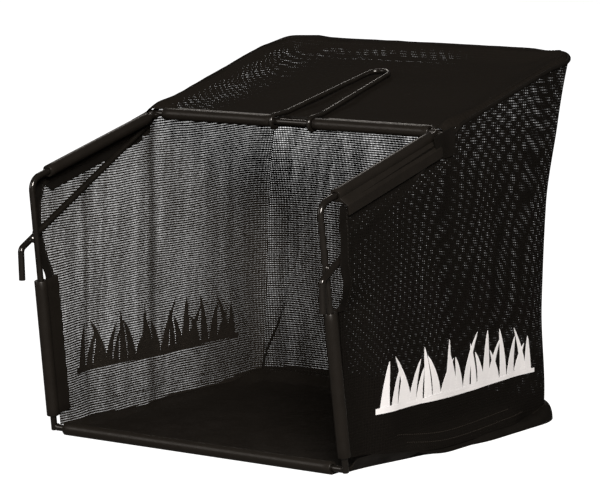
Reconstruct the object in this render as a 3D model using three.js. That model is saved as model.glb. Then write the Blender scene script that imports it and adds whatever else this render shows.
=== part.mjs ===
// Grass catcher for a hand reel mower: a bent wire frame with two hooks, plastic sleeves that clamp the
// fabric to it, five fabric panels and a carrying bail. Millimetres, X to the right, Y to the back, Z up.
// Until the last line, Y starts at the feet of the mouth's two uprights.
import * as THREE from "three";

// Driving dimensions
const GAP = 0.3; // air between pieces that touch
const WIRE_R = 3.5; // every frame wire is 7 mm steel
const BAIL_WIRE_R = 2.7; // the bail is bent from thinner wire
const FOOT = { x: 192, z: 4 }; // lower end of an upright
const BEND = { x: 187, y: -40, z: 281.5 }; // where an upright turns back into the slope
const BAR = { y: 178, z: 336 }; // axis of the top bar, which is also the bail's hinge
const BOTTOM_BAR_Z = 7;
const BEND_RADIUS = 14;
const TUBE_SIDES = 12;

const SLOPE = Math.atan2(BAR.z - BEND.z, BAR.y - BEND.y); // pitch of the mouth's sides and of the roof
const SLOPE_LENGTH = Math.hypot(BAR.y - BEND.y, BAR.z - BEND.z);
const WIRE_JOIN = 34; // from the bend to the joint inside the slope sleeve

const HOOK = { bendY: -48, bendZ: 207.6, tipY: -46.5, tipZ: 173.5, radius: 7 };
const HOOK_RISE = 0.5276; // climb of the hook rod for each millimetre to the back
const HOOK_X = 195.6; // the hook rods lie against the outside of the uprights
const BAR_END = HOOK_X + 2; // half length of the top bar

const SIDE_X = HOOK_X + WIRE_R + 0.5; // inner face of a side panel
const FABRIC = 2;
const PANEL_X = SIDE_X - GAP; // half width of the roof, back and floor
const FLOOR = { front: 22.3, back: 396, thick: 3 };
const BACK = { bulgeY: 384, bulgeZ: 190, topY: 446 };
const ROOF_TOP = 0.3; // upper face of the roof above the slope plane
const SLEEVE_REACH = 20; // from the wire to the free edge of a sleeve's flange
const UPRIGHT_REACH = 25; // the same for the uprights' sleeves
const HEM = { wide: 8, bend: { y: -8, z: 217 } }; // the open edge of a side panel, and where it turns
const ROOF_END = (BACK.topY - BAR.y) / Math.cos(SLOPE);
const TAPE = { wide: 9, thick: 1.8 };
const PATCH = { front: -6, back: 10, drop: 40 }; // from the top bar's axis
const WELT = {
  height: 10,
  startBehindFloor: 8,
  sideBulge: 22,
  bulgeY: 238,
  back: 413,
  cornerX: 204,
  cornerRadius: 12,
};

// The bail's legs come down from the top of their rings and lie along the roof.
const BAIL = {
  ring: WIRE_R + BAIL_WIRE_R + 2 * GAP,
  footX: 25,
  touchDown: 24,
  lies: ROOF_TOP + GAP + BAIL_WIRE_R,
  tipRadius: 14,
  reach: 177,
};

// Materials
function finish(color, roughness, metalness) {
  return () => new THREE.MeshStandardMaterial({ color, roughness, metalness, side: THREE.DoubleSide });
}
const paintedWire = finish(0x151413, 0.35, 0.6);
const sleevePlastic = finish(0x2b2926, 0.45, 0);
const meshFabric = finish(0x1d1b19, 0.85, 0);
const roofFabric = finish(0x242220, 0.7, 0);
const coatedFabric = finish(0x1a1917, 0.5, 0);
const bindingTape = finish(0x171614, 0.8, 0);

// Shape helpers
function piece(name, geometry, material) {
  const mesh = new THREE.Mesh(geometry, material());
  mesh.name = name;
  return mesh;
}

// The corner points of a bent wire with an arc at each inner corner.
function rounded(corners, radius, arcSteps = 7) {
  const points = [corners[0]];
  for (let i = 1; i < corners.length - 1; i++) {
    const back = corners[i - 1].clone().sub(corners[i]).normalize();
    const ahead = corners[i + 1].clone().sub(corners[i]).normalize();
    const half = back.angleTo(ahead) / 2;
    const middle = back.clone().add(ahead).normalize();
    const centre = corners[i].clone().addScaledVector(middle, radius / Math.sin(half));
    const arm = corners[i].clone().addScaledVector(back, radius / Math.tan(half)).sub(centre);
    const axis = ahead.clone().cross(back).normalize();
    for (let k = 0; k <= arcSteps; k++) {
      const turn = ((Math.PI - 2 * half) * k) / arcSteps;
      points.push(centre.clone().add(arm.clone().applyAxisAngle(axis, turn)));
    }
  }
  points.push(corners[corners.length - 1]);
  return points;
}

// A path that has exactly the given points, however far apart they are.
class WirePath extends THREE.Curve {
  constructor(points) {
    super();
    this.points = points;
  }
  getPoint(t) {
    const at = t * (this.points.length - 1);
    const i = Math.min(Math.floor(at + 1e-9), this.points.length - 2);
    return this.points[i].clone().lerp(this.points[i + 1], at - i);
  }
  getPointAt(u) {
    return this.getPoint(u);
  }
  getTangentAt(u) {
    const last = this.points.length - 1;
    const i = Math.round(u * last);
    const before = this.points[Math.min(i, last - 1) + 1].clone().sub(this.points[Math.min(i, last - 1)]);
    const after = this.points[Math.max(i, 1)].clone().sub(this.points[Math.max(i, 1) - 1]);
    return before.normalize().add(after.normalize()).normalize();
  }
}

function wire(points, radius = WIRE_R) {
  const round = new THREE.Shape().absarc(0, 0, radius, 0, 2 * Math.PI);
  const path = new WirePath(points);
  return new THREE.ExtrudeGeometry(round, {
    steps: points.length - 1,
    extrudePath: path,
    curveSegments: TUBE_SIDES,
  });
}

// An outline in the (Y, Z) plane made into a slab that is thick along X, centred on X = 0.
function sideways(shape, thick, curveSegments = TUBE_SIDES) {
  const geometry = new THREE.ExtrudeGeometry(shape, { depth: thick, bevelEnabled: false, curveSegments });
  geometry.translate(0, 0, -thick / 2);
  geometry.applyMatrix4(new THREE.Matrix4().set(0, 0, 1, 0, 1, 0, 0, 0, 0, 1, 0, 0, 0, 0, 0, 1));
  return geometry;
}

function box(x0, x1, y0, y1, z0, z1) {
  const geometry = new THREE.BoxGeometry(x1 - x0, y1 - y0, z1 - z0);
  geometry.translate((x0 + x1) / 2, (y0 + y1) / 2, (z0 + z1) / 2);
  return geometry;
}

function polygon(points) {
  return new THREE.Shape(points.map(([a, b]) => new THREE.Vector2(a, b)));
}

const SIDES = [
  { word: "left", sign: -1 },
  { word: "right", sign: 1 },
];

// Each sleeve is an extruded profile, seen along the wire: a tube round the wire's axis at (0, 0), and
// a flange that clamps the fabric. The flange leaves the tube at one angle, runs through the given
// points and comes back at the other angle, both in degrees.
function sleeveProfile(tubeRadius, leaves, comesBack, flange) {
  const shape = new THREE.Shape();
  const start = THREE.MathUtils.degToRad(comesBack);
  const end = THREE.MathUtils.degToRad(leaves);
  shape.absarc(0, 0, tubeRadius, start, end);
  for (const [across, up] of flange) shape.lineTo(across, up);
  shape.holes.push(new THREE.Path().absarc(0, 0, WIRE_R + GAP, 0, 2 * Math.PI, true));
  return shape;
}

// Frame of the slope: its origin is the top bar's axis, Y runs up the roof and Z is square to it.
const slopeFrame = new THREE.Group();
slopeFrame.position.set(0, BAR.y, BAR.z);
slopeFrame.rotation.x = SLOPE;

function slopePoint(x, along, above = 0) {
  return new THREE.Vector3(
    x,
    BAR.y + along * Math.cos(SLOPE) - above * Math.sin(SLOPE),
    BAR.z + along * Math.sin(SLOPE) + above * Math.cos(SLOPE),
  );
}

const catcher = new THREE.Group();
catcher.add(slopeFrame);

// Wire frame
function crossBar(name, halfLength) {
  const geometry = new THREE.CylinderGeometry(WIRE_R, WIRE_R, 2 * halfLength, TUBE_SIDES * 2);
  geometry.rotateZ(Math.PI / 2);
  return piece(name, geometry, paintedWire);
}

const topBar = crossBar("top_bar", BAR_END);
slopeFrame.add(topBar);

const bottomBar = crossBar("bottom_bar", FOOT.x - WIRE_R - 2 * GAP);
bottomBar.position.set(0, 0, BOTTOM_BAR_Z);
catcher.add(bottomBar);

const joinAlong = WIRE_JOIN - SLOPE_LENGTH;
for (const { word, sign } of SIDES) {
  const foot = new THREE.Vector3(sign * FOOT.x, 0, FOOT.z);
  const bend = new THREE.Vector3(sign * BEND.x, BEND.y, BEND.z);
  const upright = rounded([foot, bend, slopePoint(sign * BEND.x, joinAlong - GAP)], BEND_RADIUS);
  catcher.add(piece(`upright_wire_${word}`, wire(upright), paintedWire));

  const slopeWire = new THREE.CylinderGeometry(WIRE_R, WIRE_R, -joinAlong - WIRE_R - GAP, TUBE_SIDES * 2);
  slopeWire.translate(sign * BEND.x, (joinAlong - WIRE_R - GAP) / 2, 0);
  slopeFrame.add(piece(`slope_wire_${word}`, slopeWire, paintedWire));

  // The hook rod climbs from the hook to under the top bar's end and turns up to it.
  const rodX = sign * HOOK_X;
  const hookRod = rounded(
    [
      new THREE.Vector3(rodX, HOOK.tipY, HOOK.tipZ),
      new THREE.Vector3(rodX, HOOK.bendY, HOOK.bendZ),
      new THREE.Vector3(rodX, BAR.y, HOOK.bendZ + HOOK_RISE * (BAR.y - HOOK.bendY)),
      new THREE.Vector3(rodX, BAR.y, BAR.z - WIRE_R - 2 * GAP),
    ],
    HOOK.radius,
  );
  catcher.add(piece(`hook_rod_${word}`, wire(hookRod), paintedWire));
}

// Carrying bail: a hairpin of wire whose ends are rolled round the top bar
function bailRing(x) {
  const points = [];
  for (let degrees = 340; degrees > 90; degrees -= 25) {
    const turn = THREE.MathUtils.degToRad(degrees);
    points.push(new THREE.Vector3(x, BAIL.ring * Math.cos(turn), BAIL.ring * Math.sin(turn)));
  }
  return points;
}

function bailTip() {
  const points = [];
  for (let degrees = 180; degrees >= 0; degrees -= 15) {
    const turn = THREE.MathUtils.degToRad(degrees);
    const along = BAIL.reach - BAIL.tipRadius + BAIL.tipRadius * Math.sin(turn);
    points.push(new THREE.Vector3(BAIL.tipRadius * Math.cos(turn), along, BAIL.lies));
  }
  return points;
}

const legShare = BAIL.touchDown / (BAIL.reach - BAIL.tipRadius);
const touchX = THREE.MathUtils.lerp(BAIL.footX, BAIL.tipRadius, legShare);
const bailPoints = [
  ...bailRing(-BAIL.footX),
  new THREE.Vector3(-BAIL.footX, 0, BAIL.ring),
  new THREE.Vector3(-touchX, BAIL.touchDown, BAIL.lies),
  ...bailTip(),
  new THREE.Vector3(touchX, BAIL.touchDown, BAIL.lies),
  new THREE.Vector3(BAIL.footX, 0, BAIL.ring),
  ...bailRing(BAIL.footX).reverse(),
];
slopeFrame.add(piece("carry_bail", wire(bailPoints, BAIL_WIRE_R), paintedWire));

// Sleeves
const TOP_SLEEVE = { inner: BAIL.footX + BAIL_WIRE_R + 2 * GAP, outer: 176 };
const topProfile = sleeveProfile(6.5, -17, 5, [
  [SLEEVE_REACH, -1.9],
  [SLEEVE_REACH, 0.5],
]);
const slopeProfile = sleeveProfile(6.5, -60, -20, [
  [12.5, -10.3],
  [12.5, -SLEEVE_REACH],
  [14.6, -SLEEVE_REACH],
  [14.6, -9.5],
]);
const uprightProfile = sleeveProfile(7, -37, -15, [
  [UPRIGHT_REACH, -4.2],
  [UPRIGHT_REACH, -1.8],
]);
const bottomProfile = sleeveProfile(7, -80, -20, [
  [FLOOR.front - GAP, -6.6],
  [FLOOR.front - GAP, -4.2],
  [10, -4.2],
]);

// A profile extruded so that its own X and Y lie along the two given directions.
function alongAxis(profile, length, right, up) {
  const geometry = new THREE.ExtrudeGeometry(profile, {
    depth: length,
    bevelEnabled: false,
    curveSegments: TUBE_SIDES,
  });
  geometry.translate(0, 0, -length / 2);
  const axis = right.clone().cross(up);
  geometry.applyMatrix4(new THREE.Matrix4().makeBasis(right, up, axis));
  return geometry;
}

// The mirror image of a geometry in the plane X = 0, with its faces still pointing out.
function mirrored(geometry) {
  const copy = geometry.clone();
  copy.scale(-1, 1, 1);
  const { array } = copy.attributes.position;
  for (let i = 0; i < array.length; i += 9)
    for (let k = 0; k < 3; k++) [array[i + 3 + k], array[i + 6 + k]] = [array[i + 6 + k], array[i + 3 + k]];
  return copy;
}

// Adds a right-hand piece and its mirror image on the left.
function addPair(group, name, rightGeometry, material) {
  const flat = rightGeometry.index ? rightGeometry.toNonIndexed() : rightGeometry;
  group.add(piece(`${name}_right`, flat, material));
  group.add(piece(`${name}_left`, mirrored(flat), material));
}

const topSleeve = sideways(topProfile, TOP_SLEEVE.outer - TOP_SLEEVE.inner);
topSleeve.translate((TOP_SLEEVE.inner + TOP_SLEEVE.outer) / 2, 0, 0);
addPair(slopeFrame, "top_sleeve", topSleeve, sleevePlastic);

const SLOPE_SLEEVE = { front: 28, back: SLOPE_LENGTH - 18 }; // along the slope wire, from the bend
const slopeSleeve = alongAxis(
  slopeProfile,
  SLOPE_SLEEVE.back - SLOPE_SLEEVE.front,
  new THREE.Vector3(1, 0, 0),
  new THREE.Vector3(0, 0, 1),
);
slopeSleeve.translate(BEND.x, (SLOPE_SLEEVE.front + SLOPE_SLEEVE.back) / 2 - SLOPE_LENGTH, 0);
addPair(slopeFrame, "slope_sleeve", slopeSleeve, sleevePlastic);

const UPRIGHT_SLEEVE = { low: 17, high: 169 }; // along the upright, from its foot
const footPoint = new THREE.Vector3(FOOT.x, 0, FOOT.z);
const uprightAxis = new THREE.Vector3(BEND.x, BEND.y, BEND.z).sub(footPoint).normalize();
const uprightBack = new THREE.Vector3(1, 0, 0).cross(uprightAxis).negate().normalize();
const uprightOut = uprightBack.clone().cross(uprightAxis).negate();
const uprightSleeve = alongAxis(
  uprightProfile,
  UPRIGHT_SLEEVE.high - UPRIGHT_SLEEVE.low,
  uprightBack,
  uprightOut,
);
const sleeveMiddle = footPoint
  .clone()
  .addScaledVector(uprightAxis, (UPRIGHT_SLEEVE.low + UPRIGHT_SLEEVE.high) / 2);
uprightSleeve.translate(sleeveMiddle.x, sleeveMiddle.y, sleeveMiddle.z);
addPair(catcher, "upright_sleeve", uprightSleeve, sleevePlastic);

const bottomSleeve = piece("bottom_sleeve", sideways(bottomProfile, 2 * TOP_SLEEVE.outer), sleevePlastic);
bottomSleeve.position.copy(bottomBar.position);
catcher.add(bottomSleeve);

// Fabric panels. The back's outline is one curve from the floor up to the roof's rear edge.
const roofUnder = slopePoint(0, ROOF_END, ROOF_TOP - 2 * FABRIC);
const backCurve = new THREE.QuadraticBezierCurve(
  new THREE.Vector2(FLOOR.back, FLOOR.thick + 3 * GAP),
  new THREE.Vector2(BACK.bulgeY, BACK.bulgeZ),
  new THREE.Vector2(roofUnder.y, roofUnder.z),
);
const BACK_STEPS = 10;

// The outline of a sheet that follows the back curve, from one distance behind it to another.
function backSheet(near, far) {
  const behind = (distance) => (_, i) => {
    const at = backCurve.getPoint(i / BACK_STEPS);
    const along = backCurve.getTangent(i / BACK_STEPS);
    return [at.x + along.y * distance, at.y - along.x * distance];
  };
  const steps = Array.from({ length: BACK_STEPS + 1 });
  return polygon([...steps.map(behind(far)), ...steps.map(behind(near)).reverse()]);
}

catcher.add(piece("back_panel", sideways(backSheet(-FABRIC, 0), 2 * PANEL_X), meshFabric));
catcher.add(
  piece(
    "floor_panel",
    box(-PANEL_X, PANEL_X, FLOOR.front, FLOOR.back, 0, FLOOR.thick),
    coatedFabric,
  ),
);
slopeFrame.add(
  piece(
    "roof_panel",
    box(-PANEL_X, PANEL_X, SLEEVE_REACH + GAP, ROOF_END, ROOF_TOP - FABRIC, ROOF_TOP),
    roofFabric,
  ),
);

// Side panel outline: the flange of the upright sleeve, the hem, the slope sleeve, the roof and the back.
function besideUpright(distance, along) {
  const at = footPoint.clone().addScaledVector(uprightAxis, along).addScaledVector(uprightBack, distance);
  return [at.y, at.z];
}
function onSlope(along, above) {
  const at = slopePoint(0, along, above);
  return [at.y, at.z];
}
const slopeFrontAlong = SLOPE_SLEEVE.front - SLOPE_LENGTH;
const slopeBackAlong = SLOPE_SLEEVE.back - SLOPE_LENGTH;
const hemInner = [
  besideUpright(SLEEVE_REACH, UPRIGHT_SLEEVE.high + GAP),
  [HEM.bend.y, HEM.bend.z],
  onSlope(slopeFrontAlong + HEM.wide, -SLEEVE_REACH - GAP),
];
const hemOuter = [
  besideUpright(SLEEVE_REACH - HEM.wide, UPRIGHT_SLEEVE.high + GAP),
  [HEM.bend.y - HEM.wide, HEM.bend.z],
  onSlope(slopeFrontAlong, -SLEEVE_REACH - GAP),
];
const edge = SLEEVE_REACH + GAP;
const hemEdge = hemInner.map(([y, z]) => [y + GAP, z]);
const sideOutline = polygon([
  [FLOOR.front + GAP, GAP],
  [FLOOR.back, GAP],
  ...Array.from({ length: BACK_STEPS + 1 }, (_, i) => backCurve.getPoint(i / BACK_STEPS).toArray()),
  onSlope(ROOF_END, ROOF_TOP),
  onSlope(slopeBackAlong + GAP, ROOF_TOP),
  onSlope(slopeBackAlong + GAP, -edge),
  onSlope(slopeFrontAlong + HEM.wide + 2 * GAP, -edge),
  hemEdge[1],
  besideUpright(edge, UPRIGHT_SLEEVE.high + GAP),
  besideUpright(edge, UPRIGHT_SLEEVE.low),
]);
function sideSheet(shape, inner, thick) {
  const geometry = sideways(shape, thick);
  geometry.translate(inner + thick / 2, 0, 0);
  return geometry;
}
addPair(catcher, "side_panel", sideSheet(sideOutline, SIDE_X, FABRIC), meshFabric);
addPair(
  catcher,
  "mouth_hem",
  sideSheet(polygon([...hemInner, ...hemOuter.reverse()]), SIDE_X, FABRIC),
  bindingTape,
);

// Roof hem between the two top sleeves: it lies under the bail and hangs down behind the bar.
const roofHemFront = BAIL.ring + BAIL_WIRE_R + 1.4;
const roofHemTop = ROOF_TOP;
const roofHemFoot = -9;
const roofHem = polygon([
  [SLEEVE_REACH, roofHemTop - FABRIC],
  [SLEEVE_REACH, roofHemTop],
  [roofHemFront, roofHemTop],
  [roofHemFront, roofHemFoot],
  [roofHemFront + FABRIC, roofHemFoot],
  [roofHemFront + FABRIC, roofHemTop - FABRIC],
]);
slopeFrame.add(piece("roof_hem", sideways(roofHem, 2 * (TOP_SLEEVE.inner - GAP)), bindingTape));

// Binding tape over the seams, and a patch where the roof's front corner pulls on the frame
const tapeInner = SIDE_X + FABRIC - TAPE.wide;
const tapeBase = ROOF_TOP + GAP;
const tapeTop = tapeBase + TAPE.thick;
addPair(
  slopeFrame,
  "roof_tape",
  box(tapeInner, SIDE_X + FABRIC, edge, ROOF_END, tapeBase, tapeTop),
  bindingTape,
);
slopeFrame.add(
  piece(
    "roof_tape_back",
    box(
      GAP - tapeInner,
      tapeInner - GAP,
      ROOF_END - TAPE.wide,
      ROOF_END,
      tapeBase,
      tapeTop,
    ),
    bindingTape,
  ),
);
const backTape = sideways(backSheet(GAP, GAP + TAPE.thick), TAPE.wide);
backTape.translate(tapeInner + TAPE.wide / 2, 0, 0);
addPair(catcher, "back_tape", backTape, bindingTape);
const cornerPatch = polygon([
  [BAR.y + PATCH.front, BAR.z - PATCH.drop],
  [BAR.y + PATCH.back, BAR.z - PATCH.drop],
  onSlope(PATCH.back, 1),
  onSlope(PATCH.front, 1),
]);
addPair(
  catcher,
  "corner_patch",
  sideSheet(cornerPatch, SIDE_X + FABRIC + GAP, TAPE.thick),
  bindingTape,
);

// Floor welt: the coated floor's edge, which bulges out past the side and back panels
const weltInner = SIDE_X + FABRIC + GAP;
const sideWelt = new THREE.Shape();
sideWelt.moveTo(weltInner, FLOOR.front + WELT.startBehindFloor);
sideWelt.quadraticCurveTo(weltInner + WELT.sideBulge, WELT.bulgeY, weltInner, FLOOR.back);
const sideWeltSolid = new THREE.ExtrudeGeometry(sideWelt, {
  depth: WELT.height,
  bevelEnabled: false,
  curveSegments: 10,
});
addPair(catcher, "floor_welt", sideWeltSolid, coatedFabric);

const weltFront = FLOOR.back + TAPE.thick + 3 * GAP;
const backWelt = new THREE.Shape();
backWelt.moveTo(WELT.cornerX, weltFront);
backWelt.absarc(
  WELT.cornerX - WELT.cornerRadius,
  WELT.back - WELT.cornerRadius,
  WELT.cornerRadius,
  0,
  Math.PI / 2,
);
backWelt.absarc(
  WELT.cornerRadius - WELT.cornerX,
  WELT.back - WELT.cornerRadius,
  WELT.cornerRadius,
  Math.PI / 2,
  Math.PI,
);
backWelt.lineTo(-WELT.cornerX, weltFront);
catcher.add(
  piece(
    "floor_welt_back",
    new THREE.ExtrudeGeometry(backWelt, { depth: WELT.height, bevelEnabled: false, curveSegments: 6 }),
    coatedFabric,
  ),
);

// Centre the part on its own box, so that it stands at the origin.
catcher.updateMatrixWorld(true);
const extent = new THREE.Box3().setFromObject(catcher);
catcher.position.y = -(extent.min.y + extent.max.y) / 2;

export default catcher;
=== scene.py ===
# Looks of the grass catcher of a hand reel mower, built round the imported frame.
#
# Shapes are worked out in millimetres in the mouth's own axes, as in the CAD source: X to the right,
# Y to the back from the feet of the two uprights, Z up from the ground. place() turns them into metres.
import math

import bmesh
import bpy
from mathutils import Matrix, Vector, noise
from mathutils.geometry import interpolate_bezier


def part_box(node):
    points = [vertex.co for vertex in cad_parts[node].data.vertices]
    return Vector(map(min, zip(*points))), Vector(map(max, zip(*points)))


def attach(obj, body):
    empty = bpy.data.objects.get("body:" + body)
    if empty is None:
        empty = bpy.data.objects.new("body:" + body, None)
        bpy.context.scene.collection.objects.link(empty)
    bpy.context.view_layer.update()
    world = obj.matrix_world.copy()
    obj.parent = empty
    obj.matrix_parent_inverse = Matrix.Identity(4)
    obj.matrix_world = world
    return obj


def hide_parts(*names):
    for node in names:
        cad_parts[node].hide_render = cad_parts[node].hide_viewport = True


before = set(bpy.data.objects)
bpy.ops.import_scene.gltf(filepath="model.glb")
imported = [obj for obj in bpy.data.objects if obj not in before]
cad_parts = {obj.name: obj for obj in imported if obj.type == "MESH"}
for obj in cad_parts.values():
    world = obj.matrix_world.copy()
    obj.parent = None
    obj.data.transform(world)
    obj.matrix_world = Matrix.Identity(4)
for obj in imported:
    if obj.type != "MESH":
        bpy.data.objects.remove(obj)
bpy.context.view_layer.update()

# ---------------------------------------------------------------- sizes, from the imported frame
MM = 0.001


def middle(node):
    low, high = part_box(node)
    return (low + high) / 2


FEET_Y = middle("bottom_bar").y


def place(point):
    """A point of the mouth's axes, in millimetres, as Blender's metres."""
    return Vector((point[0] * MM, FEET_Y + point[1] * MM, point[2] * MM))


def in_mouth(point):
    """The other way: metres to the mouth's millimetres."""
    return Vector((point[0] / MM, (point[1] - FEET_Y) / MM, point[2] / MM))


BAR = in_mouth(middle("top_bar"))
BAR_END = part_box("top_bar")[1].x / MM
BOTTOM_BAR = in_mouth(middle("bottom_bar"))
BOTTOM_BAR_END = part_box("bottom_bar")[1].x / MM
WIRE_R = BOTTOM_BAR.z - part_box("bottom_bar")[0].z / MM
FOOT = Vector((192, 0, 4))
BEND = Vector((187, -40, 281.5))
BEND_RADIUS = 14
SLOPE = math.atan2(BAR.z - BEND.z, BAR.y - BEND.y)
SLOPE_LENGTH = math.hypot(BAR.z - BEND.z, BAR.y - BEND.y)
ROD_X = in_mouth(middle("hook_rod_right")).x
WALL_X = in_mouth(middle("side_panel_right")).x
FLANGE = 20  # reach of a sleeve's flange from its wire
UPRIGHT_FLANGE = 25  # the same for the uprights' sleeves

SIDES = (("left", -1), ("right", 1))


def on_slope(x, along, above=0.0):
    """A point by its distance up the roof from the top bar's axis and its height square to the roof."""
    return Vector(
        (
            x,
            BAR.y + along * math.cos(SLOPE) - above * math.sin(SLOPE),
            BAR.z + along * math.sin(SLOPE) + above * math.cos(SLOPE),
        )
    )


UPRIGHT_AXIS = (BEND - FOOT).normalized()
UPRIGHT_BACK = UPRIGHT_AXIS.cross(Vector((1, 0, 0))).normalized()
UPRIGHT_OUT = UPRIGHT_BACK.cross(UPRIGHT_AXIS).normalized()


def beside_upright(along, back):
    """A point in the plane of the right upright and its sleeve: distance up it, distance behind it."""
    return FOOT + UPRIGHT_AXIS * along + UPRIGHT_BACK * back


# ---------------------------------------------------------------- small tools
def smooth_step(low, high, value):
    t = min(1.0, max(0.0, (value - low) / (high - low)))
    return t * t * (3 - 2 * t)


def mix(a, b, t):
    return a * (1 - t) + b * t


def wobble(x, y, z, scale, seed=0.0):
    """Smooth noise from -1 to 1, whose bumps are about scale millimetres across."""
    return noise.noise(Vector((x / scale + seed, y / scale - seed, z / scale + 2 * seed)))


def along_line(points):
    """A function that runs evenly along a polyline as its argument goes from 0 to 1."""
    points = [Vector(p) for p in points]
    reach = [0.0]
    for a, b in zip(points, points[1:]):
        reach.append(reach[-1] + (b - a).length)

    def at(t):
        want = min(1.0, max(0.0, t)) * reach[-1]
        for i in range(len(points) - 1):
            if want <= reach[i + 1] or i == len(points) - 2:
                share = (want - reach[i]) / max(reach[i + 1] - reach[i], 1e-9)
                return points[i].lerp(points[i + 1], share)

    return at


class Shell:
    """Collects vertices and faces in the mouth's millimetres and turns them into one object."""

    def __init__(self):
        self.points = []
        self.faces = []
        self.slots = []
        self.weave = []

    def add(self, points, faces, slot=0, weave=None):
        start = len(self.points)
        self.points += [Vector(p) for p in points]
        self.faces += [[start + i for i in face] for face in faces]
        self.slots += [slot] * len(faces)
        self.weave += weave or [(0.0, 0.0)] * len(points)

    def build(self, name, materials, body="bag", sharp=40, fix_normals=True):
        mesh = bpy.data.meshes.new(name)
        mesh.from_pydata([place(p) for p in self.points], [], self.faces)
        for material in materials:
            mesh.materials.append(material)
        mesh.polygons.foreach_set("material_index", self.slots)
        mesh.polygons.foreach_set("use_smooth", [True] * len(mesh.polygons))
        layer = mesh.uv_layers.new(name="weave")
        for loop in mesh.loops:
            layer.data[loop.index].uv = self.weave[loop.vertex_index]
        if fix_normals:
            work = bmesh.new()
            work.from_mesh(mesh)
            bmesh.ops.recalc_face_normals(work, faces=work.faces)
            work.to_mesh(mesh)
            work.free()
        mesh.set_sharp_from_angle(angle=math.radians(sharp))
        mesh.validate()
        piece = bpy.data.objects.new(name, mesh)
        bpy.context.scene.collection.objects.link(piece)
        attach(piece, body)
        return piece


def grid_faces(rows, columns, closed=False):
    """Quads of a grid whose points are listed row by row. closed joins the last column to the first."""
    faces = []
    for r in range(rows - 1):
        for c in range(columns if closed else columns - 1):
            d = (c + 1) % columns
            faces.append([r * columns + c, r * columns + d, (r + 1) * columns + d, (r + 1) * columns + c])
    return faces


def grid_rim(rows, columns):
    """The points round the edge of such a grid, in order."""
    rim = list(range(columns))
    rim += [r * columns + columns - 1 for r in range(1, rows)]
    rim += [(rows - 1) * columns + c for c in range(columns - 2, -1, -1)]
    rim += [r * columns for r in range(rows - 2, 0, -1)]
    return rim


def rim_faces(rim, count):
    """Quads that join the rim of one grid to the rim of a like grid that starts count points later."""
    return [[i, count + i, count + j, j] for i, j in zip(rim, rim[1:] + rim[:1])]


def frames_along(points):
    """Tangent and two square directions at each point of a path, turning as little as they can."""
    tangents = []
    for i in range(len(points)):
        before = points[max(i, 1)] - points[max(i, 1) - 1]
        after = points[min(i + 1, len(points) - 1)] - points[min(i, len(points) - 2)]
        tangents.append((before.normalized() + after.normalized()).normalized())
    side = tangents[0].orthogonal().normalized()
    frames = []
    for tangent in tangents:
        side = (side - tangent * side.dot(tangent)).normalized()
        frames.append((tangent, side, tangent.cross(side)))
    return frames


def add_tube(shell, points, radius, sides, chamfer=0.5):
    """A wire along points, with its cut ends slightly chamfered."""
    points = [Vector(p) for p in points]
    first = (points[1] - points[0]).normalized()
    last = (points[-1] - points[-2]).normalized()
    path = [points[0], points[0] + first * chamfer, *points[1:-1], points[-1] - last * chamfer, points[-1]]
    radii = [radius - chamfer] + [radius] * (len(path) - 2) + [radius - chamfer]
    rings = []
    for point, (_, side, up), r in zip(path, frames_along(path), radii):
        for k in range(sides):
            turn = 2 * math.pi * k / sides
            rings.append(point + (side * math.cos(turn) + up * math.sin(turn)) * r)
    faces = grid_faces(len(path), sides, closed=True)
    faces.append(list(range(sides))[::-1])
    faces.append([(len(path) - 1) * sides + k for k in range(sides)])
    shell.add(rings, faces)


def rounded(corners, radius, steps):
    """The path of a bent wire: corner points with an arc at each inner corner."""
    corners = [Vector(c) for c in corners]
    path = [corners[0]]
    for before, corner, after in zip(corners, corners[1:], corners[2:]):
        back = (before - corner).normalized()
        ahead = (after - corner).normalized()
        half = back.angle(ahead) / 2
        centre = corner + (back + ahead).normalized() * (radius / math.sin(half))
        arm = corner + back * (radius / math.tan(half)) - centre
        axis = ahead.cross(back).normalized()
        for k in range(steps + 1):
            path.append(centre + Matrix.Rotation((math.pi - 2 * half) * k / steps, 3, axis) @ arm)
    path.append(corners[-1])
    return path


def resampled(path, step):
    """Extra points on the long straight stretches of a path."""
    out = [path[0]]
    for a, b in zip(path, path[1:]):
        count = max(1, round((b - a).length / step))
        out += [a.lerp(b, k / count) for k in range(1, count + 1)]
    return out


def add_lump(shell, centre, size, seed):
    """A weld bead: a small lump of metal with an uneven skin."""
    work = bmesh.new()
    bmesh.ops.create_icosphere(work, subdivisions=3, radius=1)
    points = []
    for vertex in work.verts:
        swell = 1 + 0.16 * noise.noise(vertex.co * 2.2 + Vector((seed, 0, 0)))
        ripple = 1 + 0.05 * math.sin(9 * vertex.co.x + seed)
        points.append(Vector([centre[k] + vertex.co[k] * size[k] * swell * ripple for k in range(3)]))
    faces = [[v.index for v in face.verts] for face in work.faces]
    work.free()
    shell.add(points, faces)


# ---------------------------------------------------------------- materials
def warm(tone):
    """A grey of that tone, slightly warm, as every black on this object looks."""
    return (tone, tone * 0.855, tone * 0.714)


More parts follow.
